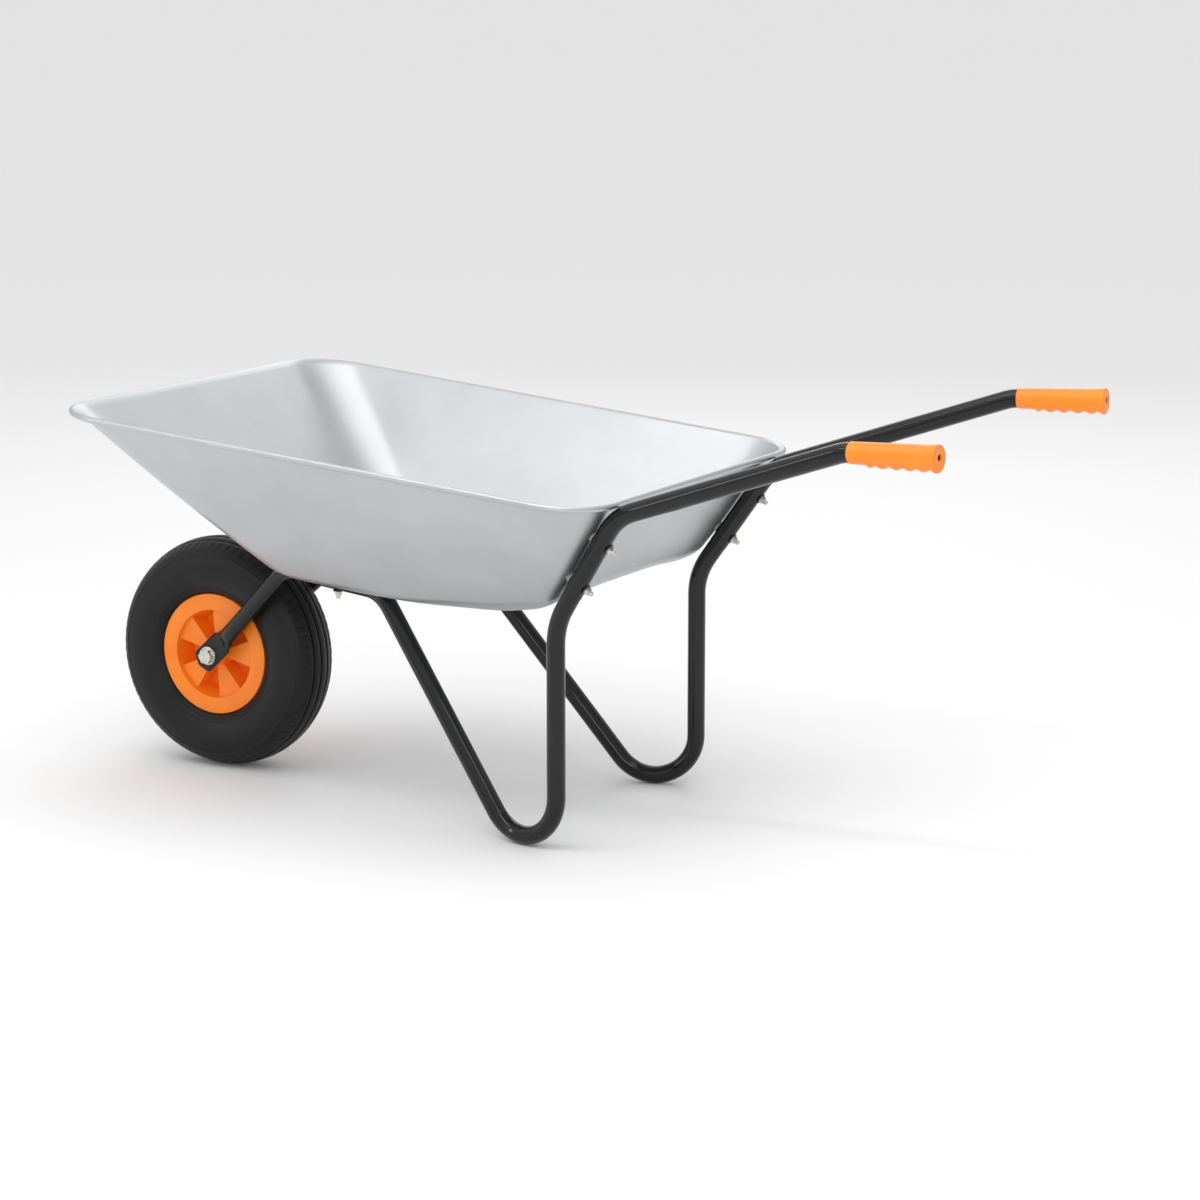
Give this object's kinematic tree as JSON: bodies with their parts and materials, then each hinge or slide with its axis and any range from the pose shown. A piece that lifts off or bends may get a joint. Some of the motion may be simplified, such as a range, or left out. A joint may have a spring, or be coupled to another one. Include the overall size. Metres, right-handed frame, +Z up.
{
  "type": "wheelbarrow",
  "caption": "Single-wheel garden wheelbarrow: sheet-metal tray on a bent tube frame with grips, and a pneumatic wheel that turns on its axle.",
  "frame": {"origin": "on the floor, midway between the front of the tyre and the ends of the grips, on the mid-plane", "axes": "+X from the wheel to the grips along the length; +Z up; left is -Y and right is +Y"},
  "size_m": [1.3799, 0.655, 0.5882],
  "materials": {
    "galvanised_sheet": "galvanised, satin",
    "steel_wire": "plain drawn steel",
    "black_paint": "gloss black powder coat",
    "orange_grip": "soft satin PVC",
    "zinc_plate": "bright zinc plate",
    "dark_washer": "satin",
    "spacer_plastic": "satin",
    "orange_rim": "moulded, soft gloss",
    "bush_plastic": "satin",
    "tyre_rubber": "moulded rubber",
    "tube_rubber": "smooth rubber",
    "cap_plastic": "satin"
  },
  "bodies": {
    "frame": {"tray": "galvanised_sheet", "rim_wire": "steel_wire", "frame_tube_left": "black_paint", "frame_tube_right": "black_paint", "handle_tube_left": "black_paint", "handle_tube_right": "black_paint", "grip_left": "orange_grip", "grip_right": "orange_grip", "rear_bolts": "zinc_plate", "rear_washers": "dark_washer", "rear_nuts": "zinc_plate", "wall_spacers": "spacer_plastic", "floor_bolts": "zinc_plate", "floor_washers": "dark_washer", "floor_nuts": "zinc_plate", "axle_bolt": "zinc_plate", "axle_nut": "zinc_plate", "axle_washers": "zinc_plate", "axle_sleeve": "steel_wire", "thrust_washers": "steel_wire"},
    "wheel": {"rim_half_left": "orange_rim", "rim_half_right": "orange_rim", "bush_left": "bush_plastic", "bush_right": "bush_plastic", "tyre": "tyre_rubber", "inner_tube": "tube_rubber", "valve_stem": "tube_rubber", "valve_cap": "cap_plastic"}
  },
  "joints": [
    {"name": "wheel_spin", "type": "hinge", "parent": "frame", "child": "wheel", "pos_m": [-0.525, 0, 0.165], "axis": [0, 1, 0], "continuous": true}
  ]
}
